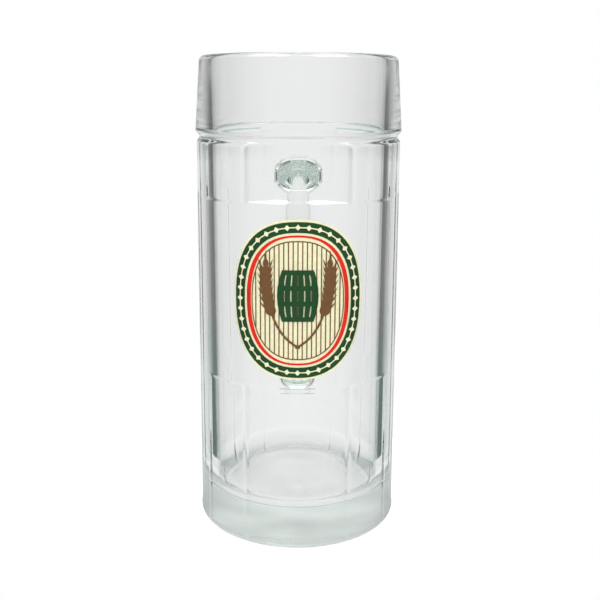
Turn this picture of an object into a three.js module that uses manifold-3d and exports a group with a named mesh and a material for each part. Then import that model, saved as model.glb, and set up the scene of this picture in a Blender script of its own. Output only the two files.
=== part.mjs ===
// Half-litre glass beer mug: a pressed body, a handle welded on behind, and a printed oval label.
// Millimetres, +Z up. Z is the mug's axis and the underside lies on Z = 0.
// The label faces -Y and the handle stands off towards +Y.

import * as THREE from 'three';
import { mergeVertices } from 'three/addons/utils/BufferGeometryUtils.js';
import Module from 'manifold-3d';

const wasm = await Module();
wasm.setup();

// Outside of the body
const mugHeight = 186;
const footRadius = 40.5; // outer wall run down to the underside
const shoulderRadius = 40; // outer wall at the foot of the groove
const heelRadius = 2.8; // round between the underside and the wall
const grooveFootHeight = 152.5; // where the wall turns in to the groove
const grooveDepth = 1.3;
const grooveSlopeHeight = 2.4; // rounded slope below the groove's floor
const grooveFloorHeight = 1.3;
const grooveShoulderHeight = 1.4; // straight slope up to the band
const bandRadius = 40.2; // lower edge of the plain band above the groove
const rimRadius = 38.4; // upper edge of that band
const lipHeight = 2.2; // rounded part of the rim

// Inside of the body
const boreRimRadius = 33.9;
const boreFloorRadius = 33.3;
const floorThickness = 13;
const floorCornerRadius = 7.5;
const floorDish = 0.8; // the floor is this much lower in the middle

// Pressed panels around the body, with a thin rib between each two and a plain belt that carries the label
const widePanelAngle = 58; // degrees, one in front and one behind
const narrowPanelsPerSide = 4;
const panelInset = 0.25; // a panel lies this far inside the belt
const widePanelBow = 0.85; // a wide panel is this much deeper in its middle
const ribInset = 0.05; // a rib lies this far inside the belt
const ribWidth = 2.4; // across the foot of a rib
const ledgeRun = 1.3; // a ledge runs this far along the wall for each millimetre of depth
const lowerPanelFoot = 3;
const lowerPanelTop = 64.9; // lower edge of the belt
const upperPanelFoot = 133.3; // upper edge of the belt

// Handle
const handleTopHeight = 136.5; // middle of the upper root
const handleFootHeight = 45; // middle of the lower root
const gripDistance = 70; // from the mug's axis to the middle of the grip
const gripBend = 16; // radius of the handle's two bends
const gripWidth = 14;
const gripThickness = 11.5;
const topRootWidth = 23.5;
const topRootThickness = 13;
const footRootWidth = 16;
const footRootThickness = 11;
const rootFlare = 28; // length over which a root swells
const sectionFullness = 2.5; // 2 is an ellipse, more is squarer
const weldGap = 0.3; // seam between the handle and the body

// Printed label
const labelWidth = 50; // along the belt
const labelHeight = 59.4;
const labelMiddle = 98.6;
const labelFullness = 2.35; // 2 is an ellipse, more is squarer
const filmGap = 0.06;
const filmThickness = 0.1;
const filmMargin = 1; // the ring that films are stamped from is this much taller at each end
const borderInset = 0.8;
const borderWidth = 3.9;
const beads = 40;
const beadSize = 1.5;
const beadLineWidth = 0.4;
const ringInset = 5.6;
const ringWidth = 0.7; // at the top and bottom
const ringSideWidth = 1.7;
const fieldInset = 7.6;
const stripeWidth = 0.4;
const stripePitch = 1.7;
const barrelHeight = 19;
const barrelEndWidth = 11.5;
const barrelBellyWidth = 15;
const barrelRise = 2; // from the label's middle to the barrel's
const barrelZones = 3;
const hoopHeight = 1.7;
const staves = 6;
const staveGap = 0.5;
const earPairs = 7;
const earPitch = 2.5;
const grainLength = 4.2;
const grainWidth = 2.2;
const grainTurn = 24; // degrees away from the stem
const awnLength = 7;
const awnWidth = 0.7;
const stemWidth = 0.8;
const dropBelly = 0.45; // a grain is widest at this share of its length
const earSpread = 11.6; // from the label's middle to an ear's stem
const earFoot = -17.5; // where the two stems cross

// Fineness of the round surfaces
const wideSteps = 10;
const narrowSteps = 5;
const heelSteps = 4;
const slopeSteps = 3;
const lipSteps = 6;
const floorSteps = 5;
const handleRings = 44;
const handleSides = 20;
const labelRingSegments = 144;
const ovalSteps = 64;
const dropSteps = 4;
const stemSteps = 12;
const barrelSteps = 6;
const mergeDistance = 1e-4;

// Values that follow from those above
const grooveFloorFoot = grooveFootHeight + grooveSlopeHeight;
const grooveFloorTop = grooveFloorFoot + grooveFloorHeight;
const grooveTopHeight = grooveFloorTop + grooveShoulderHeight;
const lipFootHeight = mugHeight - lipHeight;
const lipHalfWidth = (rimRadius - boreRimRadius) / 2;
const floorFlatRadius = boreFloorRadius - floorCornerRadius;
const wideHalf = THREE.MathUtils.degToRad(widePanelAngle / 2);
const narrowHalf = (Math.PI - 2 * wideHalf) / (2 * narrowPanelsPerSide);
const ribHalf = ribWidth / 2 / shoulderRadius;

function wallRadius(height) {
  return THREE.MathUtils.mapLinear(height, 0, grooveFootHeight, footRadius, shoulderRadius);
}

// A point at a distance from the axis, with the angle counted from the front towards +X
function polar(angle, radius, height) {
  return new THREE.Vector3(radius * Math.sin(angle), -radius * Math.cos(angle), height);
}

// Panels in order around the body; the belt crosses the wide ones and the narrow ones next to them
function panelsAround() {
  const panels = [];
  let edge = -wideHalf;
  for (let side = 0; side < 2; side += 1) {
    const middle = edge + wideHalf;
    panels.push({ middle, half: wideHalf, bow: widePanelBow, belted: true, steps: wideSteps });
    edge += 2 * wideHalf;
    for (let i = 0; i < narrowPanelsPerSide; i += 1) {
      const belted = i === 0 || i === narrowPanelsPerSide - 1;
      panels.push({ middle: edge + narrowHalf, half: narrowHalf, bow: 0, belted, steps: narrowSteps });
      edge += 2 * narrowHalf;
    }
  }
  return panels;
}

// One column along each rib and for each step across each panel
function columnsAround() {
  const columns = [];
  for (const panel of panelsAround()) {
    columns.push({ angle: panel.middle - panel.half, depth: ribInset, belted: true });
    for (let step = 0; step <= panel.steps; step += 1) {
      const share = (2 * step) / panel.steps - 1;
      const angle = panel.middle + share * (panel.half - ribHalf);
      const depth = panelInset + panel.bow * (1 - share ** 2);
      columns.push({ angle, depth, belted: panel.belted });
    }
  }
  return columns;
}

const columns = columnsAround();

// A ring of the plain wall
function plainRing(radius, height) {
  return columns.map((column) => polar(column.angle, radius, height));
}

// The ring along an edge of the belt, which the panels at the sides run through
function beltRing(height, grow) {
  return columns.map((column) => {
    const depth = column.belted ? 0 : column.depth;
    return polar(column.angle, wallRadius(height) - depth + grow, height);
  });
}

// The ring where a sloping ledge meets the panel, above (+1) or below (-1) the ledge's outer edge
function panelRing(ledgeHeight, direction, grow) {
  return columns.map((column) => {
    const height = ledgeHeight + direction * column.depth * ledgeRun;
    return polar(column.angle, wallRadius(height) - column.depth + grow, height);
  });
}

// Rings of the heel's quarter round, from the underside up
function heelRings(grow) {
  const rings = [];
  const middle = wallRadius(heelRadius) - heelRadius;
  for (let step = 0; step <= heelSteps; step += 1) {
    const turn = (Math.PI / 2) * (step / heelSteps);
    const radius = middle + heelRadius * Math.sin(turn) + grow;
    rings.push(plainRing(radius, heelRadius * (1 - Math.cos(turn))));
  }
  return rings;
}

// The groove: a rounded slope that the panels run out in, a narrow floor and a straight shoulder to the band
function grooveRings(grow) {
  const rings = [];
  for (let step = 0; step <= slopeSteps; step += 1) {
    const turn = (Math.PI / 2) * (step / slopeSteps);
    const slopeDepth = grooveDepth * (1 - Math.cos(turn));
    const height = grooveFootHeight + grooveSlopeHeight * Math.sin(turn);
    rings.push(columns.map((column) => {
      const radius = shoulderRadius - Math.max(slopeDepth, column.depth) + grow;
      return polar(column.angle, radius, height);
    }));
  }
  const floorRadius = shoulderRadius - grooveDepth + grow;
  rings.push(plainRing(floorRadius, grooveFloorTop));
  rings.push(plainRing(bandRadius + grow, grooveTopHeight));
  return rings;
}

// The whole outside, from the underside to the foot of the lip
function outsideRings(grow) {
  return [
    ...heelRings(grow),
    plainRing(wallRadius(lowerPanelFoot) + grow, lowerPanelFoot),
    panelRing(lowerPanelFoot, 1, grow),
    panelRing(lowerPanelTop, -1, grow),
    beltRing(lowerPanelTop, grow),
    beltRing(upperPanelFoot, grow),
    panelRing(upperPanelFoot, 1, grow),
    ...grooveRings(grow),
    plainRing(rimRadius + grow, lipFootHeight),
  ];
}

// The lip: half an ellipse from the outside over to the bore
function lipRings() {
  const rings = [];
  const middle = (rimRadius + boreRimRadius) / 2;
  for (let step = 1; step <= lipSteps; step += 1) {
    const turn = Math.PI * (step / lipSteps);
    const radius = middle + lipHalfWidth * Math.cos(turn);
    rings.push(plainRing(radius, lipFootHeight + lipHeight * Math.sin(turn)));
  }
  return rings;
}

// The bore's lower end: a quarter round from the wall to the floor
function floorRings() {
  const rings = [];
  for (let step = 0; step <= floorSteps; step += 1) {
    const turn = (Math.PI / 2) * (step / floorSteps);
    const radius = floorFlatRadius + floorCornerRadius * Math.cos(turn);
    rings.push(plainRing(radius, floorThickness + floorCornerRadius * (1 - Math.sin(turn))));
  }
  return rings;
}

// A closed skin over a list of rings with the same number of points, with a point at each end
function skinOverRings(rings, firstPole, lastPole) {
  const positions = [];
  const indices = [];
  const count = rings[0].length;
  for (const ring of rings) {
    for (const point of ring) {
      positions.push(point.x, point.y, point.z);
    }
  }
  const firstIndex = rings.length * count;
  const lastIndex = firstIndex + 1;
  positions.push(firstPole.x, firstPole.y, firstPole.z);
  positions.push(lastPole.x, lastPole.y, lastPole.z);
  const lastRing = (rings.length - 1) * count;
  for (let i = 0; i < count; i += 1) {
    const next = (i + 1) % count;
    indices.push(firstIndex, next, i);
    indices.push(lastIndex, lastRing + i, lastRing + next);
    for (let row = 0; row < lastRing; row += count) {
      indices.push(row + i, row + next, row + count + next);
      indices.push(row + i, row + count + next, row + count + i);
    }
  }
  const geometry = new THREE.BufferGeometry();
  geometry.setAttribute('position', new THREE.Float32BufferAttribute(positions, 3));
  geometry.setIndex(indices);
  return geometry;
}

function bodyGeometry() {
  const rings = [...outsideRings(0), ...lipRings(), ...floorRings()];
  const underside = new THREE.Vector3(0, 0, 0);
  const floor = new THREE.Vector3(0, 0, floorThickness - floorDish);
  return skinOverRings(rings, underside, floor);
}

// The outside grown by the weld's gap, without a bore: what the handle's roots are cut by
function grownOutside() {
  const underside = new THREE.Vector3(0, 0, 0);
  const top = new THREE.Vector3(0, 0, lipFootHeight);
  return skinOverRings(outsideRings(weldGap), underside, top);
}

// Solids for joining and cutting
function toSolid(geometry) {
  const bare = geometry.clone();
  bare.deleteAttribute('normal');
  bare.deleteAttribute('uv');
  const merged = mergeVertices(bare, mergeDistance);
  const vertProperties = new Float32Array(merged.attributes.position.array);
  const triVerts = new Uint32Array(merged.index.array);
  return new wasm.Manifold(new wasm.Mesh({ numProp: 3, vertProperties, triVerts }));
}

function toGeometry(solid) {
  const mesh = solid.getMesh();
  const geometry = new THREE.BufferGeometry();
  geometry.setAttribute('position', new THREE.BufferAttribute(mesh.vertProperties, 3));
  geometry.setIndex(new THREE.BufferAttribute(mesh.triVerts, 1));
  return geometry;
}

// The handle's middle line in the plane of the mug's axis: out, down along the grip and back in
function handleLine() {
  const inside = (boreRimRadius + shoulderRadius) / 2;
  const bendMiddle = gripDistance - gripBend;
  const line = new THREE.Path();
  line.moveTo(inside, handleTopHeight);
  line.lineTo(bendMiddle, handleTopHeight);
  line.absarc(bendMiddle, handleTopHeight - gripBend, gripBend, Math.PI / 2, 0, true);
  line.lineTo(gripDistance, handleFootHeight + gripBend);
  line.absarc(bendMiddle, handleFootHeight + gripBend, gripBend, 0, -Math.PI / 2, true);
  line.lineTo(inside, handleFootHeight);
  return line;
}

// How much of a root's swelling is left at a distance from the mug's axis
function rootShare(distance) {
  const away = THREE.MathUtils.clamp((distance - shoulderRadius) / rootFlare, 0, 1);
  return (1 + Math.cos(Math.PI * away)) / 2;
}

// A value drawn out so that a circle of them becomes a fuller shape
function fuller(value, fullness) {
  return Math.sign(value) * Math.abs(value) ** (2 / fullness);
}

function handleGeometry() {
  const line = handleLine();
  const middleHeight = (handleTopHeight + handleFootHeight) / 2;
  const rings = [];
  for (let i = 0; i <= handleRings; i += 1) {
    const point = line.getPointAt(i / handleRings);
    const along = line.getTangentAt(i / handleRings);
    const share = rootShare(point.x);
    const isUpper = point.y > middleHeight;
    const rootWidth = isUpper ? topRootWidth : footRootWidth;
    const rootThickness = isUpper ? topRootThickness : footRootThickness;
    const halfWidth = THREE.MathUtils.lerp(gripWidth, rootWidth, share) / 2;
    const halfThickness = THREE.MathUtils.lerp(gripThickness, rootThickness, share) / 2;
    const ring = [];
    for (let side = 0; side < handleSides; side += 1) {
      const turn = (-2 * Math.PI * side) / handleSides;
      const across = halfWidth * fuller(Math.cos(turn), sectionFullness);
      const outward = halfThickness * fuller(Math.sin(turn), sectionFullness);
      const distance = point.x - along.y * outward;
      ring.push(new THREE.Vector3(across, distance, point.y + along.x * outward));
    }
    rings.push(ring);
  }
  const start = line.getPointAt(0);
  const end = line.getPointAt(1);
  const firstPole = new THREE.Vector3(0, start.x, start.y);
  const lastPole = new THREE.Vector3(0, end.x, end.y);
  const swept = toSolid(skinOverRings(rings, firstPole, lastPole));
  return toGeometry(swept.subtract(toSolid(grownOutside())));
}

// Print films lie on the belt one above another, so a layer's inner face is this far out
function layerLift(layer) {
  return filmGap + layer * (filmThickness + filmGap);
}

// A thin ring round the belt that a film is stamped from
function filmRing(layer) {
  const foot = labelMiddle - labelHeight / 2 - filmMargin;
  const top = labelMiddle + labelHeight / 2 + filmMargin;
  const inner = layerLift(layer);
  const outer = inner + filmThickness;
  const profile = [
    new THREE.Vector2(wallRadius(foot) + inner, foot),
    new THREE.Vector2(wallRadius(foot) + outer, foot),
    new THREE.Vector2(wallRadius(top) + outer, top),
    new THREE.Vector2(wallRadius(top) + inner, top),
    new THREE.Vector2(wallRadius(foot) + inner, foot),
  ];
  return toSolid(new THREE.LatheGeometry(profile, labelRingSegments).rotateX(Math.PI / 2));
}

// A flat outline, turned, set across and up from the label's middle and pushed through the belt's front
function stamp(shape, across = 0, up = 0, turn = 0) {
  const geometry = new THREE.ExtrudeGeometry(shape, {
    depth: 2 * footRadius,
    bevelEnabled: false,
    curveSegments: dropSteps,
  });
  geometry.rotateZ(turn);
  geometry.translate(across, up, 0);
  geometry.rotateX(Math.PI / 2);
  geometry.translate(0, 0, labelMiddle);
  return toSolid(geometry);
}

function film(stamped, layer) {
  return toGeometry(filmRing(layer).intersect(stamped));
}

// A point of the label's oval, drawn in by insets, as it shows from the front once it lies on the belt
function ovalPoint(turn, sideInset, endInset) {
  const across = (labelWidth / 2 - sideInset) * fuller(Math.cos(turn), labelFullness);
  const up = (labelHeight / 2 - endInset) * fuller(Math.sin(turn), labelFullness);
  const radius = wallRadius(labelMiddle);
  return new THREE.Vector2(radius * Math.sin(across / radius), up);
}

function ovalPoints(sideInset, endInset = sideInset) {
  const points = [];
  for (let step = 0; step < ovalSteps; step += 1) {
    points.push(ovalPoint((2 * Math.PI * step) / ovalSteps, sideInset, endInset));
  }
  return points;
}

function ovalShape(inset) {
  return new THREE.Shape(ovalPoints(inset));
}

// A ring round the oval, with a width at its sides and another at its ends
function ovalRing(inset, sideWidth, endWidth = sideWidth) {
  const shape = ovalShape(inset);
  shape.holes.push(new THREE.Path(ovalPoints(inset + sideWidth, inset + endWidth)));
  return shape;
}

function bar(width, height) {
  const shape = new THREE.Shape();
  shape.moveTo(-width / 2, -height / 2);
  shape.lineTo(width / 2, -height / 2);
  shape.lineTo(width / 2, height / 2);
  shape.lineTo(-width / 2, height / 2);
  return shape;
}

// A pointed oval that starts at the middle and points up
function drop(length, width) {
  const shape = new THREE.Shape();
  shape.moveTo(0, 0);
  shape.quadraticCurveTo(width, length * dropBelly, 0, length);
  shape.quadraticCurveTo(-width, length * dropBelly, 0, 0);
  return shape;
}

function joined(solids) {
  return solids.reduce((whole, solid) => whole.add(solid));
}

// A thin line along the middle of the border, with a bead like a small diamond at even steps
function beadedLine() {
  const middleInset = borderInset + borderWidth / 2;
  const line = new THREE.Path(ovalPoints(middleInset));
  line.closePath();
  const parts = [stamp(ovalRing(middleInset - beadLineWidth / 2, beadLineWidth))];
  for (let bead = 0; bead < beads; bead += 1) {
    const place = bead / beads;
    const point = line.getPointAt(place);
    const along = line.getTangentAt(place);
    const turn = Math.atan2(along.y, along.x) + Math.PI / 4;
    parts.push(stamp(bar(beadSize, beadSize), point.x, point.y, turn));
  }
  return joined(parts);
}

// Upright pinstripes that fill the field and are held by a thin oval line
function pinstripes() {
  let stripes = stamp(ovalRing(fieldInset, stripeWidth));
  const inside = stamp(ovalShape(fieldInset + stripeWidth / 2));
  const reach = labelWidth / 2 - fieldInset - stripePitch / 2;
  const perSide = Math.floor(reach / stripePitch);
  for (let i = -perSide; i <= perSide; i += 1) {
    const stripe = stamp(bar(stripeWidth, labelHeight), i * stripePitch);
    stripes = stripes.add(stripe.intersect(inside));
  }
  return stripes;
}

// Half the barrel's width at a height from its middle
function barrelHalfWidth(up) {
  const bulge = 1 - (2 * up / barrelHeight) ** 2;
  return (barrelEndWidth + (barrelBellyWidth - barrelEndWidth) * bulge) / 2;
}

// The two sides of an upright strip of the barrel, between two shares of its half width
function barrelStrip(foot, top, leftShare, rightShare, margin) {
  const right = [];
  const left = [];
  for (let step = 0; step <= barrelSteps; step += 1) {
    const up = THREE.MathUtils.lerp(foot, top, step / barrelSteps);
    const half = barrelHalfWidth(up);
    right.push(new THREE.Vector2(rightShare * half + margin, up));
    left.unshift(new THREE.Vector2(leftShare * half - margin, up));
  }
  return [...right, ...left];
}

// A barrel on its end: the staves' joints show as slots between the hoops
function barrel() {
  const outline = barrelStrip(-barrelHeight / 2, barrelHeight / 2, -1, 1, 0);
  const zoneHeight = (barrelHeight - (barrelZones + 1) * hoopHeight) / barrelZones;
  const slots = [];
  for (let zone = 0; zone < barrelZones; zone += 1) {
    const foot = -barrelHeight / 2 + hoopHeight + zone * (zoneHeight + hoopHeight);
    for (let joint = 1; joint < staves; joint += 1) {
      const share = (2 * joint) / staves - 1;
      const slot = barrelStrip(foot, foot + zoneHeight, share, share, staveGap / 2);
      slots.push(stamp(new THREE.Shape(slot), 0, barrelRise));
    }
  }
  return stamp(new THREE.Shape(outline), 0, barrelRise).subtract(joined(slots));
}

// A ribbon of even width along a flat curve
function ribbon(curve, width) {
  const near = [];
  const far = [];
  for (let step = 0; step <= stemSteps; step += 1) {
    const point = curve.getPoint(step / stemSteps);
    const along = curve.getTangent(step / stemSteps);
    const aside = new THREE.Vector2(-along.y, along.x).multiplyScalar(width / 2);
    near.push(point.clone().sub(aside));
    far.unshift(point.clone().add(aside));
  }
  return new THREE.Shape([...near, ...far]);
}

// One ear of barley: a curved stem with grains in pairs along its upper end, each with its awn
function barleyEar(side) {
  const stemTop = earFoot + earPairs * earPitch + earSpread;
  const stem = new THREE.QuadraticBezierCurve(
    new THREE.Vector2(-side * stemWidth, earFoot),
    new THREE.Vector2(side * earSpread, earFoot + earSpread / 2),
    new THREE.Vector2(side * earSpread, stemTop),
  );
  const parts = [stamp(ribbon(stem, stemWidth))];
  const stemLength = stem.getLength();
  for (let pair = 0; pair <= earPairs; pair += 1) {
    const place = 1 - ((earPairs - pair) * earPitch) / stemLength;
    const point = stem.getPointAt(place);
    const along = stem.getTangentAt(place);
    const heading = Math.atan2(along.y, along.x) - Math.PI / 2;
    const leans = pair === earPairs ? [0] : [-1, 1];
    for (const lean of leans) {
      const turn = heading + lean * THREE.MathUtils.degToRad(grainTurn);
      parts.push(stamp(drop(grainLength, grainWidth), point.x, point.y, turn));
      parts.push(stamp(drop(awnLength, awnWidth), point.x, point.y, turn));
    }
  }
  return joined(parts);
}

const glass = { color: 0xdfe9e2, roughness: 0.05, metalness: 0, transparent: true, opacity: 0.45 };
const cream = { color: 0xe9e6c0, roughness: 0.45, metalness: 0 };
const green = { color: 0x1f4727, roughness: 0.4, metalness: 0 };
const red = { color: 0xd9220f, roughness: 0.4, metalness: 0 };
const brown = { color: 0x6b4a2a, roughness: 0.45, metalness: 0 };

const mug = new THREE.Group();

function addPart(name, geometry, finish) {
  const mesh = new THREE.Mesh(geometry, new THREE.MeshStandardMaterial(finish));
  mesh.name = name;
  mesh.geometry.computeVertexNormals();
  mug.add(mesh);
}

addPart('mug_body', bodyGeometry(), glass);
addPart('handle', handleGeometry(), glass);
addPart('label_ground', film(stamp(ovalShape(0)), 0), cream);
addPart('label_border', film(stamp(ovalRing(borderInset, borderWidth)), 1), green);
addPart('label_ring', film(stamp(ovalRing(ringInset, ringSideWidth, ringWidth)), 1), red);
addPart('label_pinstripes', film(pinstripes(), 1), brown);
addPart('label_beads', film(beadedLine(), 2), cream);
addPart('label_barley', film(joined([-1, 1].map(barleyEar)), 2), brown);
addPart('label_barrel', film(barrel(), 3), green);

export default mug;
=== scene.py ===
import math

import bmesh
import bpy
import numpy as np
from mathutils import Matrix, Vector


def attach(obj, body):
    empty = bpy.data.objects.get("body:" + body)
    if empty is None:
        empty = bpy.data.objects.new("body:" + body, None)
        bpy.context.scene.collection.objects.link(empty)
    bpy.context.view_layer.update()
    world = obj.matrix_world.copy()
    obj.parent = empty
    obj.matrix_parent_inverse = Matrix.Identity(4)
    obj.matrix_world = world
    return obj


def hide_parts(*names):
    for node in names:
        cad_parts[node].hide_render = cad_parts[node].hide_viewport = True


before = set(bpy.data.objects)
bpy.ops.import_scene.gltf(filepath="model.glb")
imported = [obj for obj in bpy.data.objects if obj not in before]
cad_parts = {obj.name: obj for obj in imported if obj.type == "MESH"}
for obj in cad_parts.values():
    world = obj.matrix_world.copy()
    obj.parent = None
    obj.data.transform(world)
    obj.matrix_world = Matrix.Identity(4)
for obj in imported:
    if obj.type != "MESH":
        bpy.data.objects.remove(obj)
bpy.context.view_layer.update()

# Sizes of the mug, in millimetres, as in the part's source but for a rounder floor corner
MM = 0.001
FOOT_RADIUS = 40.5
SHOULDER_RADIUS = 40.0
HEEL_RADIUS = 2.8
GROOVE_FOOT = 152.5
GROOVE_DEPTH = 1.3
GROOVE_SLOPE = 2.4
GROOVE_FLOOR = 1.3
GROOVE_SHOULDER = 1.4
BAND_RADIUS = 40.2
RIM_RADIUS = 38.4
MUG_HEIGHT = 186.0
LIP_HEIGHT = 2.2
BORE_RIM_RADIUS = 33.9
BORE_FLOOR_RADIUS = 33.3
FLOOR_THICKNESS = 13.0
FLOOR_CORNER = 9.0
FLOOR_DISH = 0.8

# Heights that follow from these
SLOPE_TOP = GROOVE_FOOT + GROOVE_SLOPE
SHOULDER_FOOT = SLOPE_TOP + GROOVE_FLOOR
BAND_FOOT = SHOULDER_FOOT + GROOVE_SHOULDER
LIP_FOOT = MUG_HEIGHT - LIP_HEIGHT

# Panels pressed into the wall, in degrees and millimetres, shaped a little further than in the part's source
WIDE_HALF = 29.0
NARROW_PER_SIDE = 4
NARROW_HALF = (90.0 - WIDE_HALF) / NARROW_PER_SIDE
BELT_HALF = WIDE_HALF + 2 * NARROW_HALF
PANEL_DEPTH = 0.25
LOWER_INSET = 0.15
WIDE_STEP = 0.3
WIDE_DEPTH = 0.8
RIB_WIDTH = 0.9
LEDGE_RUN = 1.6
LOWER_TIER = (3.0, 64.9)
UPPER_FOOT = 133.3
EDGE_ROUND = 0.35
CORNER_ROUND = 0.3

# Handle, in millimetres
HANDLE_TOP = 136.5
HANDLE_FOOT = 45.0
HANDLE_START = 35.2
GRIP_DISTANCE = 70.0
GRIP_BEND = 16.0
GRIP_SIZE = (14.0, 11.5)
TOP_ROOT_SIZE = (23.5, 13.0)
FOOT_ROOT_SIZE = (16.0, 11.0)
ROOT_FLARE = 28.0
WELD_ROUND = 1.2
SECTION_FULLNESS = 2.5

# Print on the belt, in millimetres
FILM_GAP = 0.06
FILM_THICKNESS = 0.1
FILM_STEP = FILM_GAP + FILM_THICKNESS

# Steps of the body's outside, in degrees and millimetres, and a spare length past both ends for its rounding
TURN_STEP = 0.5
HEIGHT_STEP = 0.1
SPARE = 6.0

# How near a rib or an edge the steps are kept, and how many steps make one elsewhere
NEAR_RIB = 3.2
NEAR_EDGE = 2.4
EDGE_MIDDLE = 1.0
COARSE_TURN = 4
COARSE_HEIGHT = 20
RING_GAP = 0.05

# Counts of rings over the rest of the body, and shares of the radius of the smallest ring of a face
UNDERSIDE_RINGS = 8
UNDERSIDE_MIDDLE = 0.15
HEEL_RINGS = 9
LIP_RINGS = 25
BORE_RINGS = 60
CORNER_RINGS = 19
FLOOR_RINGS = 12
FLOOR_MIDDLE = 0.08

# Counts of points along and round the handle
STRAIGHT_POINTS = 30
BEND_POINTS = 40
GRIP_POINTS = 24
HANDLE_SIDES = 64


# Body: its outside is a field of radii over height and turn
def wall_radius(height):
    return FOOT_RADIUS + (SHOULDER_RADIUS - FOOT_RADIUS) * height / GROOVE_FOOT


def folded(degrees):
    """Turn from the middle of the front or of the back, whichever is nearer."""
    turn = np.abs((degrees + 180) % 360 - 180)
    return np.where(turn > 90, 180 - turn, turn)


def panel_depth(turn, height, radius):
    """How far a panel lies inside the wall, with a thin rib left at each corner."""
    upper = height > UPPER_FOOT
    from_rib = np.abs((turn - WIDE_HALF + NARROW_HALF) % (2 * NARROW_HALF) - NARROW_HALF)
    bowed = PANEL_DEPTH * (1 - from_rib / NARROW_HALF) ** 2
    narrow = np.where(upper, PANEL_DEPTH, LOWER_INSET + bowed)
    hollow = np.where(upper, WIDE_STEP, 0) + WIDE_DEPTH * (1 - (turn / WIDE_HALF) ** 2)
    depth = np.where(turn < WIDE_HALF, PANEL_DEPTH + hollow, narrow)
    from_rib = np.where(turn < WIDE_HALF, WIDE_HALF - turn, from_rib)
    rib = np.exp(-(np.radians(from_rib) * radius / RIB_WIDTH) ** 2)
    return depth * (1 - rib)


def panelled_wall(heights, turn):
    """Radius of the panels, which end in ledges at the foot and beside the belt."""
    wall = wall_radius(heights)
    panel = panel_depth(turn[None, :], heights[:, None], wall[:, None])
    from_foot = heights - LOWER_TIER[0]
    from_belt = np.maximum(LOWER_TIER[1] - heights, heights - UPPER_FOOT)
    beside_belt = np.minimum(from_foot, from_belt)
    has_belt = turn < BELT_HALF
    ledge = np.where(has_belt[None, :], beside_belt[:, None], from_foot[:, None]) / LEDGE_RUN
    return wall[:, None] - np.clip(np.minimum(panel, ledge), 0, None)


def plain_wall(heights):
    """Radius of the wall without panels, then of the groove and of the band up to the rim."""
    groove_floor = SHOULDER_RADIUS - GROOVE_DEPTH
    share = np.clip((heights - GROOVE_FOOT) / GROOVE_SLOPE, 0, 1)
    slope = SHOULDER_RADIUS - GROOVE_DEPTH * (1 - np.sqrt(1 - share ** 2))
    chamfer = groove_floor + (BAND_RADIUS - groove_floor) * (heights - SHOULDER_FOOT) / GROOVE_SHOULDER
    taper = (RIM_RADIUS - BAND_RADIUS) / (LIP_FOOT - BAND_FOOT)
    band = BAND_RADIUS + taper * (heights - BAND_FOOT)
    upper = np.where(heights < SHOULDER_FOOT, slope, np.minimum(chamfer, band))
    return np.where(heights < GROOVE_FOOT, wall_radius(heights), upper)


def soften(field, width, axis):
    """Gaussian rounding of a field, with the width given in samples."""
    reach = int(3 * width)
    shifts = range(-reach, reach + 1)
    weights = [math.exp(-0.5 * (shift / width) ** 2) for shift in shifts]
    rolled = (weight * np.roll(field, shift, axis) for shift, weight in zip(shifts, weights))
    return sum(rolled) / sum(weights)


def outside_field():
    degrees = np.arange(0, 360, TURN_STEP)
    heights = np.arange(-SPARE, MUG_HEIGHT + SPARE, HEIGHT_STEP)
    panels = panelled_wall(heights, folded(degrees))
    wall = plain_wall(heights)[:, None]
    field = np.where(heights[:, None] < SHOULDER_FOOT, np.minimum(wall, panels), wall)
    field = soften(field, EDGE_ROUND / HEIGHT_STEP, 0)
    turn_round = math.degrees(CORNER_ROUND / SHOULDER_RADIUS) / TURN_STEP
    return heights, degrees, soften(field, turn_round, 1)


def thinned(values, marks, reach, coarse):
    """Indices of the values kept: all near the marks, and one in every few elsewhere."""
    near = np.min(np.abs(values[:, None] - np.array(marks)[None, :]), axis=1) < reach
    keep = near | (np.arange(len(values)) % coarse == 0)
    return np.nonzero(keep)[0]


def kept_columns(degrees):
    """Columns of the field, finer beside the ribs."""
    ribs = [WIDE_HALF + 2 * NARROW_HALF * n for n in range(NARROW_PER_SIDE + 1)]
    ribs += [360 - rib for rib in ribs]
    return thinned(degrees, ribs, NEAR_RIB, COARSE_TURN)


def kept_rows(heights):
    """Rows of the field between heel and lip, finer beside the ledges and the groove."""
    marks = [LOWER_TIER[0] + EDGE_MIDDLE, LOWER_TIER[1] - EDGE_MIDDLE, UPPER_FOOT + EDGE_MIDDLE]
    marks += [GROOVE_FOOT, SLOPE_TOP, SHOULDER_FOOT + EDGE_MIDDLE]
    inside = (heights > HEEL_RADIUS + RING_GAP) & (heights < LIP_FOOT - RING_GAP)
    rows = [n for n in thinned(heights, marks, NEAR_EDGE, COARSE_HEIGHT) if inside[n]]
    return [n for place, n in enumerate(rows) if n % COARSE_HEIGHT == 0 or place % 2 == 0]


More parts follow.
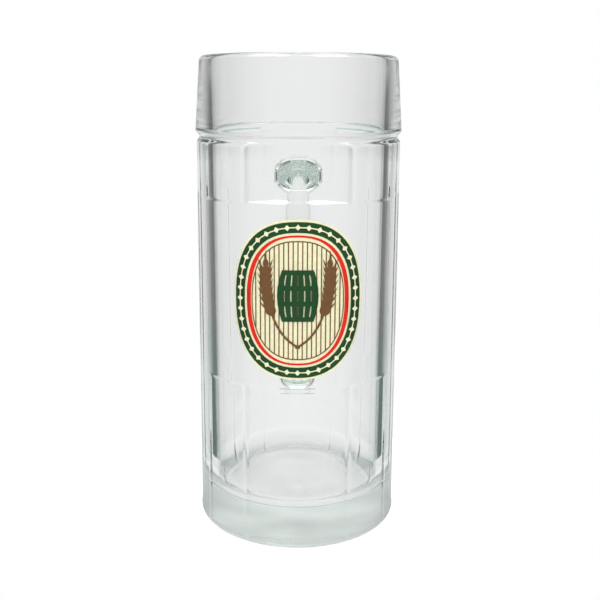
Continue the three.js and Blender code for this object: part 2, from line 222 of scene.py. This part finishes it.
def body_rings():
    """Rings of points from the middle of the underside, up the outside, over the lip and down the bore."""
    heights, degrees, field = outside_field()
    columns = kept_columns(degrees)
    turns = np.radians(degrees[columns])
    rings = []

    def ring(radius, height):
        x, y = radius * np.sin(turns), -radius * np.cos(turns)
        rings.append(np.stack([x, y, np.full_like(turns, height)], 1))

    heel = FOOT_RADIUS - HEEL_RADIUS
    for share in np.linspace(UNDERSIDE_MIDDLE, 1, UNDERSIDE_RINGS):
        ring(heel * share, 0)
    for angle in np.linspace(0, math.pi / 2, HEEL_RINGS)[1:]:
        ring(heel + HEEL_RADIUS * math.sin(angle), HEEL_RADIUS * (1 - math.cos(angle)))
    for row in kept_rows(heights):
        ring(field[row][columns], heights[row])
    half = (RIM_RADIUS - BORE_RIM_RADIUS) / 2
    for angle in np.linspace(0, math.pi, LIP_RINGS):
        ring(RIM_RADIUS - half + half * math.cos(angle), LIP_FOOT + LIP_HEIGHT * math.sin(angle))
    corner_height = FLOOR_THICKNESS + FLOOR_CORNER
    for share in np.linspace(0, 1, BORE_RINGS)[1:]:
        ring(BORE_RIM_RADIUS + (BORE_FLOOR_RADIUS - BORE_RIM_RADIUS) * share,
             LIP_FOOT + (corner_height - LIP_FOOT) * share)
    flat = BORE_FLOOR_RADIUS - FLOOR_CORNER
    for angle in np.linspace(0, math.pi / 2, CORNER_RINGS)[1:]:
        ring(flat + FLOOR_CORNER * math.cos(angle), corner_height - FLOOR_CORNER * math.sin(angle))
    for share in np.linspace(1, FLOOR_MIDDLE, FLOOR_RINGS)[1:]:
        ring(flat * share, FLOOR_THICKNESS - FLOOR_DISH * (1 - share ** 2))
    return rings


# Handle: a line of points swept with a full section that flares into the wall
def handle_line():
    turn_at = GRIP_DISTANCE - GRIP_BEND
    bend_top = HANDLE_TOP - GRIP_BEND
    bend_foot = HANDLE_FOOT + GRIP_BEND

    def bend(middle, first, last):
        angles = np.linspace(first, last, BEND_POINTS)[1:]
        return [(turn_at + GRIP_BEND * math.cos(a), middle + GRIP_BEND * math.sin(a)) for a in angles]

    line = [(y, HANDLE_TOP) for y in np.linspace(HANDLE_START, turn_at, STRAIGHT_POINTS)]
    line += bend(bend_top, math.pi / 2, 0)
    line += [(GRIP_DISTANCE, z) for z in np.linspace(bend_top, bend_foot, GRIP_POINTS)[1:]]
    line += bend(bend_foot, 0, -math.pi / 2)
    line += [(y, HANDLE_FOOT) for y in np.linspace(turn_at, HANDLE_START, STRAIGHT_POINTS)[1:]]
    return np.array(line)


def handle_rings():
    line = handle_line()
    along = np.gradient(line, axis=0)
    along /= np.linalg.norm(along, axis=1)[:, None]
    angles = np.arange(HANDLE_SIDES) * -2 * math.pi / HANDLE_SIDES
    across = np.sign(np.cos(angles)) * np.abs(np.cos(angles)) ** (2 / SECTION_FULLNESS)
    over = np.sign(np.sin(angles)) * np.abs(np.sin(angles)) ** (2 / SECTION_FULLNESS)
    rings = []
    for (y, z), (step_y, step_z) in zip(line, along):
        away = max(y - SHOULDER_RADIUS, 0)
        share = 0.5 + 0.5 * math.cos(math.pi * min(away / ROOT_FLARE, 1))
        root_size = TOP_ROOT_SIZE if z > (HANDLE_TOP + HANDLE_FOOT) / 2 else FOOT_ROOT_SIZE
        width, thickness = (grip + (root - grip) * share for grip, root in zip(GRIP_SIZE, root_size))
        inward = max(WELD_ROUND - away, 0)
        weld = 2 * (WELD_ROUND - math.sqrt(WELD_ROUND ** 2 - min(inward, WELD_ROUND) ** 2))
        width += weld
        thickness += weld
        out_y, out_z = -step_z, step_y
        lift = over * thickness / 2
        rings.append(np.stack([across * width / 2, y + lift * out_y, z + lift * out_z], 1))
    return rings


# Glass skin
def skinned(name, rings, first, last):
    """A closed mesh over a list of rings, with a point at each end and its faces turned outward."""
    count = len(rings[0])
    points = np.concatenate([[first], *rings, [last]]) * MM
    faces = []
    for column in range(count):
        after = (column + 1) % count
        faces.append((0, 1 + after, 1 + column))
        for row in range(len(rings) - 1):
            low = 1 + row * count
            faces.append((low + column, low + after, low + count + after, low + count + column))
        low = 1 + (len(rings) - 1) * count
        faces.append((low + column, low + after, len(points) - 1))
    mesh = bpy.data.meshes.new(name)
    mesh.from_pydata(points.tolist(), [], faces)
    mesh.validate()
    edit = bmesh.new()
    edit.from_mesh(mesh)
    bmesh.ops.recalc_face_normals(edit, faces=edit.faces)
    edit.to_mesh(mesh)
    edit.free()
    made = bpy.data.objects.new(name, mesh)
    bpy.context.scene.collection.objects.link(made)
    return made


def joined_glass():
    """Body and handle as one skin, as the hot weld leaves no face between them."""
    body = skinned("mug_glass", body_rings(), (0, 0, 0), (0, 0, FLOOR_THICKNESS - FLOOR_DISH))
    rings = handle_rings()
    handle = skinned("handle_tool", rings, rings[0].mean(0), rings[-1].mean(0))
    weld = body.modifiers.new("weld", "BOOLEAN")
    weld.operation = "UNION"
    weld.solver = "MANIFOLD"
    weld.object = handle
    shown = body.evaluated_get(bpy.context.evaluated_depsgraph_get())
    mesh = bpy.data.meshes.new_from_object(shown)
    body.modifiers.clear()
    body.data = mesh
    bpy.data.objects.remove(handle)
    mesh.shade_smooth()
    return body


# Helpers for node trees
NOISE_SPAN = (0.3, 0.7)


def new_material(name):
    material = bpy.data.materials.new(name)
    material.use_nodes = True
    tree = material.node_tree
    return material, tree, tree.nodes["Principled BSDF"]


def fill(tree, socket, value):
    """Sets a socket to a plain number, or links another socket to it."""
    if isinstance(value, (int, float)):
        socket.default_value = value
    else:
        tree.links.new(value, socket)


def calc(tree, operation, *values):
    """A Math node over sockets and plain numbers."""
    node = tree.nodes.new("ShaderNodeMath")
    node.operation = operation
    for socket, value in zip(node.inputs, values):
        fill(tree, socket, value)
    return node.outputs["Value"]


def blend(tree, share, first, second):
    """A Mix node from the first value to the second."""
    node = tree.nodes.new("ShaderNodeMix")
    tree.links.new(share, node.inputs["Factor"])
    fill(tree, node.inputs["A"], first)
    fill(tree, node.inputs["B"], second)
    return node.outputs["Result"]


def blend_colours(tree, share, first, second):
    """A Mix node from the first colour to the second."""
    node = tree.nodes.new("ShaderNodeMix")
    node.data_type = "RGBA"
    node.inputs["A"].default_value = (*first, 1)
    node.inputs["B"].default_value = (*second, 1)
    tree.links.new(share, node.inputs["Factor"])
    return node.outputs["Result"]


def rise(tree, value, low, high):
    """0 below the low value, 1 above the high one and smooth between."""
    node = tree.nodes.new("ShaderNodeMapRange")
    node.interpolation_type = "SMOOTHSTEP"
    node.inputs["From Min"].default_value = low
    node.inputs["From Max"].default_value = high
    tree.links.new(value, node.inputs["Value"])
    return node.outputs["Result"]


def levels(tree, share, stops):
    """Grey levels at shares from 0 to 1."""
    ramp = tree.nodes.new("ShaderNodeValToRGB")
    elements = ramp.color_ramp.elements
    while len(elements) < len(stops):
        elements.new(0.5)
    for element, (place, level) in zip(elements, stops):
        element.position = place
        element.color = (level, level, level, 1)
    tree.links.new(share, ramp.inputs["Fac"])
    return ramp.outputs["Color"]


def coordinates(tree, kind):
    """X, Y and Z of a kind of texture coordinate."""
    place = tree.nodes.new("ShaderNodeTexCoord")
    parts = tree.nodes.new("ShaderNodeSeparateXYZ")
    tree.links.new(place.outputs[kind], parts.inputs["Vector"])
    return parts.outputs


def noise(tree, scale, detail):
    place = tree.nodes.new("ShaderNodeTexCoord")
    texture = tree.nodes.new("ShaderNodeTexNoise")
    texture.inputs["Scale"].default_value = scale
    texture.inputs["Detail"].default_value = detail
    tree.links.new(place.outputs["Object"], texture.inputs["Vector"])
    return texture.outputs["Fac"]


def mottle(tree, scale, detail, low, high):
    """Noise spread from a low value to a high one."""
    span = tree.nodes.new("ShaderNodeMapRange")
    limits = {"From Min": NOISE_SPAN[0], "From Max": NOISE_SPAN[1], "To Min": low, "To Max": high}
    for name, value in limits.items():
        span.inputs[name].default_value = value
    tree.links.new(noise(tree, scale, detail), span.inputs["Value"])
    return span.outputs["Result"]


def relief(tree, scale, detail, depth, strength):
    """Noise as a slight relief of the surface."""
    bump = tree.nodes.new("ShaderNodeBump")
    bump.inputs["Strength"].default_value = strength
    bump.inputs["Distance"].default_value = depth
    tree.links.new(noise(tree, scale, detail), bump.inputs["Height"])
    return bump.outputs["Normal"]


# Glass: clear and faintly green
GLASS_REFRACTION = 1.5
GLASS_TINT = (0.30, 0.77, 0.55)
TINT_DENSITY = 2.2

# Roughness: the scale and detail of its noise, then its least and its most
FIRE_POLISH = (60, 3, 0.0, 0.02)
HANDLE_POLISH = (200, 2, 0.06, 0.1)
UNDERSIDE_DULL = (45, 1, 0.24, 0.5)

# Slight waves: the scale and detail of their noise, then their depth in metres and their strength
GLASS_WAVES = (45, 2, 0.0003, 0.05)

# Places, in metres, from which the glass is the handle and up to which it is the underside
HANDLE_FROM = 0.0412
UNDERSIDE_TO = 0.0001


def clear_glass():
    material, tree, shader = new_material("clear_glass")
    shader.inputs["Base Color"].default_value = (1, 1, 1, 1)
    shader.inputs["Transmission Weight"].default_value = 1
    shader.inputs["IOR"].default_value = GLASS_REFRACTION
    place = coordinates(tree, "Object")
    on_handle = calc(tree, "GREATER_THAN", place["Y"], HANDLE_FROM)
    underside = calc(tree, "LESS_THAN", place["Z"], UNDERSIDE_TO)
    rough = blend(tree, on_handle, mottle(tree, *FIRE_POLISH), mottle(tree, *HANDLE_POLISH))
    rough = blend(tree, underside, rough, mottle(tree, *UNDERSIDE_DULL))
    tree.links.new(rough, shader.inputs["Roughness"])
    tree.links.new(relief(tree, *GLASS_WAVES), shader.inputs["Normal"])
    tint = tree.nodes.new("ShaderNodeVolumeAbsorption")
    tint.inputs["Color"].default_value = (*GLASS_TINT, 1)
    tint.inputs["Density"].default_value = TINT_DENSITY
    tree.links.new(tint.outputs["Volume"], tree.nodes["Material Output"].inputs["Volume"])
    return material


# Enamel: satin, with a fine mottle of a slightly deeper colour, given in the same way as the glass
ENAMEL_MOTTLE = (900, 3, 0.0, 1.0)
ENAMEL_ROUGHNESS = (300, 2, 0.4, 0.55)
ENAMEL_GRAIN = (2500, 2, 0.00002, 0.3)
ENAMEL_SHINE = 0.25
DEEPER = 0.86


def enamel(name, colour):
    material, tree, shader = new_material(name)
    deeper = [value * DEEPER for value in colour]
    shade = blend_colours(tree, mottle(tree, *ENAMEL_MOTTLE), colour, deeper)
    tree.links.new(shade, shader.inputs["Base Color"])
    shader.inputs["Specular IOR Level"].default_value = ENAMEL_SHINE
    tree.links.new(mottle(tree, *ENAMEL_ROUGHNESS), shader.inputs["Roughness"])
    tree.links.new(relief(tree, *ENAMEL_GRAIN), shader.inputs["Normal"])
    return material


# Print: each colour's film, with its points put back on the smooth belt
SAME_POINT = 1e-6
SHARP_ANGLE = 35
PRINT_COLOURS = {
    "cream_print": (0.815, 0.791, 0.527),
    "green_print": (0.0080, 0.0550, 0.0140),
    "red_print": (0.694, 0.0160, 0.0048),
    "brown_print": (0.147, 0.0685, 0.0232),
}
FILMS = (
    ("label_ground", 0, "cream_print"),
    ("label_border", 1, "green_print"),
    ("label_ring", 1, "red_print"),
    ("label_pinstripes", 1, "brown_print"),
    ("label_beads", 2, "cream_print"),
    ("label_barley", 2, "brown_print"),
    ("label_barrel", 3, "green_print"),
)


def print_film(node, layer, material):
    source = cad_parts[node]
    mesh = source.data.copy()
    mesh.materials.clear()
    edit = bmesh.new()
    edit.from_mesh(mesh)
    bmesh.ops.remove_doubles(edit, verts=edit.verts, dist=SAME_POINT)
    for point in edit.verts:
        x, y, z = (value / MM for value in point.co)
        inner = wall_radius(z) + FILM_GAP + layer * FILM_STEP
        is_outer = math.hypot(x, y) > inner + FILM_THICKNESS / 2
        scale = (inner + FILM_THICKNESS * is_outer) / math.hypot(x, y)
        point.co = Vector((x * scale, y * scale, z)) * MM
    edit.to_mesh(mesh)
    edit.free()
    mesh.shade_smooth()
    mesh.set_sharp_from_angle(angle=math.radians(SHARP_ANGLE))
    mesh.materials.append(material)
    film = bpy.data.objects.new(node + "_film", mesh)
    bpy.context.scene.collection.objects.link(film)
    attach(film, "root")
    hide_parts(node)


# Stage: a pale floor, a sheet of grey levels round the back, pale surroundings, lamps and cards, in metres
FLOOR_SIZE = 0.085
FLOOR_SIDES = 96
FLOOR_DROP = 0.0002
FLOOR_WHITE = 0.8
FLOOR_GLOW = 0.6

# What the glass sees of the floor: grey levels by distance from the middle, with painted light under the
# mug, a painted contact shadow in a ring just outside its foot, and the evenly lit floor beyond
FLOOR_LIGHT_AND_SHADOW_IN_GLASS = ((0, 0.84), (0.037, 0.84), (0.042, 0.62), (0.05, 0.82), (0.075, 0.92), (FLOOR_SIZE, 0.92))


def add_floor():
    mesh = bpy.data.meshes.new("floor")
    edit = bmesh.new()
    bmesh.ops.create_circle(edit, cap_ends=True, segments=FLOOR_SIDES, radius=FLOOR_SIZE)
    edit.to_mesh(mesh)
    edit.free()
    floor = bpy.data.objects.new("floor", mesh)
    floor.location.z = -FLOOR_DROP
    bpy.context.scene.collection.objects.link(floor)
    mesh.materials.append(floor_material())


def floor_material():
    """White to the camera and to the lamps' light, with levels of its own in the glass: painted light under
    the mug and a painted shadow ring round its foot.
    """
    material, tree, shader = new_material("floor")
    nodes, links = tree.nodes, tree.links
    nodes.remove(shader)
    place = nodes.new("ShaderNodeTexCoord")
    reach = nodes.new("ShaderNodeVectorMath")
    reach.operation = "LENGTH"
    links.new(place.outputs["Object"], reach.inputs[0])
    share = calc(tree, "DIVIDE", reach.outputs["Value"], FLOOR_SIZE)
    stops = [(distance / FLOOR_SIZE, level) for distance, level in FLOOR_LIGHT_AND_SHADOW_IN_GLASS]
    # The glass sees this glow: painted light under the mug and a painted contact shadow round its foot
    floor_light_and_shadow = nodes.new("ShaderNodeEmission")
    links.new(levels(tree, share, stops), floor_light_and_shadow.inputs["Strength"])
    diffuse = nodes.new("ShaderNodeBsdfDiffuse")
    diffuse.inputs["Color"].default_value = (FLOOR_WHITE, FLOOR_WHITE, FLOOR_WHITE, 1)
    path = nodes.new("ShaderNodeLightPath").outputs
    glow = nodes.new("ShaderNodeEmission")
    links.new(calc(tree, "MULTIPLY", path["Is Camera Ray"], FLOOR_GLOW), glow.inputs["Strength"])
    plain = nodes.new("ShaderNodeAddShader")
    links.new(diffuse.outputs["BSDF"], plain.inputs[0])
    links.new(glow.outputs["Emission"], plain.inputs[1])
    pick = nodes.new("ShaderNodeMixShader")
    links.new(calc(tree, "MAXIMUM", path["Is Glossy Ray"], path["Is Transmission Ray"]), pick.inputs["Fac"])
    links.new(plain.outputs["Shader"], pick.inputs[1])
    links.new(floor_light_and_shadow.outputs["Emission"], pick.inputs[2])
    links.new(pick.outputs["Shader"], nodes["Material Output"].inputs["Surface"])
    return material


# A sheet round the back of the mug, which only the glass sees: grey levels by degrees from straight behind
SWEEP_RADIUS = 0.2
SWEEP_HALF = 100
SWEEP_STEP = 2
SWEEP_SPAN = (-0.25, 0.35)
SWEEP_ENDS = ((72, 0.1), (85, 0.4), (SWEEP_HALF, 0.6))
SWEEP_LOW = ((0, 0.9), (20, 0.87), (40, 0.83), (50, 0.67), (55, 0.28), (59, 0.12), *SWEEP_ENDS)
SWEEP_MIDDLE = ((0, 0.9), (10, 0.88), (20, 0.87), (32, 0.83), (40, 0.76), (48, 0.62), (53, 0.36),
                (59, 0.13), *SWEEP_ENDS)
SWEEP_HIGH = ((0, 0.88), (7, 0.87), (11, 0.83), (20, 0.78), (29, 0.7), (35, 0.62), (40, 0.53),
              (45, 0.43), (52, 0.3), (57, 0.12), *SWEEP_ENDS)
SWEEP_FOOT_LEVEL = 1.0
SWEEP_LEAST_AT_TOP = 0.34
SWEEP_TOP_LEVEL = 0.7

# Heights over which one row of levels gives way to the next
LOW_FROM = (-0.08, -0.06)
MIDDLE_FROM = (-0.02, 0.02)
HIGH_FROM = (0.128, 0.138)
LEAST_FROM = (0.14, 0.17)
TOP_FROM = (0.2, 0.23)

# The sheet is greenish where it is both dark and low, and turns white over these levels and heights
SWEEP_SHADE = (0.66, 1.0, 0.84)
WHITE = (1, 1, 1)
WHITE_LEVELS = (0.15, 0.65)
WHITE_HEIGHTS = (-0.02, 0.06)


def add_sweep():
    mesh = bpy.data.meshes.new("sweep")
    edit = bmesh.new()
    rows = []
    for degrees in range(-SWEEP_HALF, SWEEP_HALF + 1, SWEEP_STEP):
        turn = math.radians(degrees)
        x, y = SWEEP_RADIUS * math.sin(turn), SWEEP_RADIUS * math.cos(turn)
        rows.append([edit.verts.new((x, y, height)) for height in SWEEP_SPAN])
    for (a, b), (c, d) in zip(rows, rows[1:]):
        edit.faces.new((a, b, d, c))
    edit.to_mesh(mesh)
    edit.free()
    sweep = bpy.data.objects.new("sweep", mesh)
    sweep.visible_camera = False
    sweep.visible_diffuse = False
    sweep.visible_shadow = False
    bpy.context.scene.collection.objects.link(sweep)
    mesh.materials.append(sweep_material())


def sweep_material():
    material, tree, shader = new_material("sweep")
    tree.nodes.remove(shader)
    place = coordinates(tree, "Object")
    height = place["Z"]
    turn = calc(tree, "ABSOLUTE", calc(tree, "ARCTAN2", place["X"], place["Y"]))
    share = calc(tree, "DIVIDE", turn, math.radians(SWEEP_HALF))
    level = SWEEP_FOOT_LEVEL
    for heights, row in ((LOW_FROM, SWEEP_LOW), (MIDDLE_FROM, SWEEP_MIDDLE), (HIGH_FROM, SWEEP_HIGH)):
        stops = [(degrees / SWEEP_HALF, grey) for degrees, grey in row]
        level = blend(tree, rise(tree, height, *heights), level, levels(tree, share, stops))
    least = calc(tree, "MULTIPLY", rise(tree, height, *LEAST_FROM), SWEEP_LEAST_AT_TOP)
    level = calc(tree, "MAXIMUM", level, least)
    level = blend(tree, rise(tree, height, *TOP_FROM), level, SWEEP_TOP_LEVEL)
    whiteness = calc(tree, "MAXIMUM", rise(tree, level, *WHITE_LEVELS), rise(tree, height, *WHITE_HEIGHTS))
    glow = tree.nodes.new("ShaderNodeEmission")
    tree.links.new(level, glow.inputs["Strength"])
    tree.links.new(blend_colours(tree, whiteness, SWEEP_SHADE, WHITE), glow.inputs["Color"])
    tree.links.new(glow.outputs["Emission"], tree.nodes["Material Output"].inputs["Surface"])
    return material


# Surroundings beyond the sheet: paler overhead and far below, with the tilts of the changes in degrees
AROUND_LEVEL = 0.6
UPPER_LEVEL = 0.7
OVERHEAD_LEVEL = 1.0
OVERHEAD_GLINT = 0.6
DEEP_LEVEL = 1.0
AROUND_FROM = (-30, -24)
UPPER_FROM = (4, 14)
OVERHEAD_FROM = (45, 65)


def add_world():
    """Grey in the glass, a brighter overhead in reflections, and white to the camera."""
    world = bpy.data.worlds.new("studio")
    bpy.context.scene.world = world
    world.use_nodes = True
    tree = world.node_tree
    tilt = calc(tree, "DEGREES", calc(tree, "ARCSINE", coordinates(tree, "Generated")["Z"]))
    level = blend(tree, rise(tree, tilt, *AROUND_FROM), DEEP_LEVEL, AROUND_LEVEL)
    level = blend(tree, rise(tree, tilt, *UPPER_FROM), level, UPPER_LEVEL)
    path = tree.nodes.new("ShaderNodeLightPath").outputs
    overhead = calc(tree, "MULTIPLY_ADD", path["Is Glossy Ray"], OVERHEAD_GLINT, OVERHEAD_LEVEL)
    level = blend(tree, rise(tree, tilt, *OVERHEAD_FROM), level, overhead)
    background = tree.nodes["Background"]
    background.inputs["Color"].default_value = (*WHITE, 1)
    tree.links.new(calc(tree, "MAXIMUM", level, path["Is Camera Ray"]), background.inputs["Strength"])


# Lamps light the print. Cards over the front show as white crescents on the upper ledge
LAMP_AIM = (0, 0, 0.1)
TOP_PLACE = (0, 0.1, 0.9)
TOP_SIZE = (0.7, 0.7)
TOP_POWER = 3
FRONT_PLACE = (0, -0.9, 0.6)
FRONT_SIZE = (0.9, 0.6)
FRONT_POWER = 7
CARD_AIM = (0, -0.04, 0.13)
CARD_ASIDE = 0.34
CARD_FORWARD = 0.36
CARD_HEIGHT = 0.8
CARD_SIZE = (0.54, 0.46)
CARD_POWER = 4


def add_lamp(name, place, aim, size, power, is_card=False):
    """A soft lamp that reflections don't show, or a bright card that only they show."""
    lamp = bpy.data.lights.new(name, "AREA")
    lamp.shape = "RECTANGLE"
    lamp.size, lamp.size_y = size
    lamp.energy = power
    made = bpy.data.objects.new(name, lamp)
    made.location = place
    made.rotation_euler = (Vector(aim) - Vector(place)).to_track_quat("-Z", "Y").to_euler()
    made.visible_diffuse = not is_card
    made.visible_glossy = is_card
    made.visible_transmission = False
    bpy.context.scene.collection.objects.link(made)


# Camera: metres in front of the axis and above the table, degrees, and shares of the picture for the shift
CAMERA_DISTANCE = 0.341
CAMERA_HEIGHT = 0.173
CAMERA_PITCH = 12.0
CAMERA_ROLL = 0.245
CAMERA_SENSOR = 36
CAMERA_LENS = 51.5
CAMERA_SHIFT = (0.0035, -0.045)
CAMERA_CLIP = 0.01


def add_camera():
    camera = bpy.data.cameras.new("camera")
    camera.sensor_width = CAMERA_SENSOR
    camera.lens = CAMERA_LENS
    camera.shift_x, camera.shift_y = CAMERA_SHIFT
    camera.clip_start = CAMERA_CLIP
    made = bpy.data.objects.new("camera", camera)
    down = Matrix.Rotation(math.radians(90 - CAMERA_PITCH), 4, "X")
    aslant = Matrix.Rotation(math.radians(CAMERA_ROLL), 4, "Z")
    made.matrix_world = Matrix.Translation((0, -CAMERA_DISTANCE, CAMERA_HEIGHT)) @ down @ aslant
    bpy.context.scene.collection.objects.link(made)
    bpy.context.scene.camera = made


# The mug
glass = joined_glass()
glass.data.materials.clear()
glass.data.materials.append(clear_glass())
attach(glass, "root")
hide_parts("mug_body", "handle")

paints = {name: enamel(name, colour) for name, colour in PRINT_COLOURS.items()}
for node, layer, paint in FILMS:
    print_film(node, layer, paints[paint])

# The stage
add_floor()
add_sweep()
add_world()
add_lamp("top_softbox", TOP_PLACE, LAMP_AIM, TOP_SIZE, TOP_POWER)
add_lamp("front_softbox", FRONT_PLACE, LAMP_AIM, FRONT_SIZE, FRONT_POWER)
for side, name in ((-1, "left_card"), (1, "right_card")):
    card_place = (side * CARD_ASIDE, -CARD_FORWARD, CARD_HEIGHT)
    add_lamp(name, card_place, CARD_AIM, CARD_SIZE, CARD_POWER, is_card=True)
add_camera()
bpy.context.scene.view_settings.view_transform = "Standard"

# Light is led round inside the thick glass many times before it leaves
GLASS_BOUNCES = 32
GLOSSY_BOUNCES = 16
cycles = bpy.context.scene.cycles
cycles.max_bounces = GLASS_BOUNCES
cycles.transmission_bounces = GLASS_BOUNCES
cycles.glossy_bounces = GLOSSY_BOUNCES
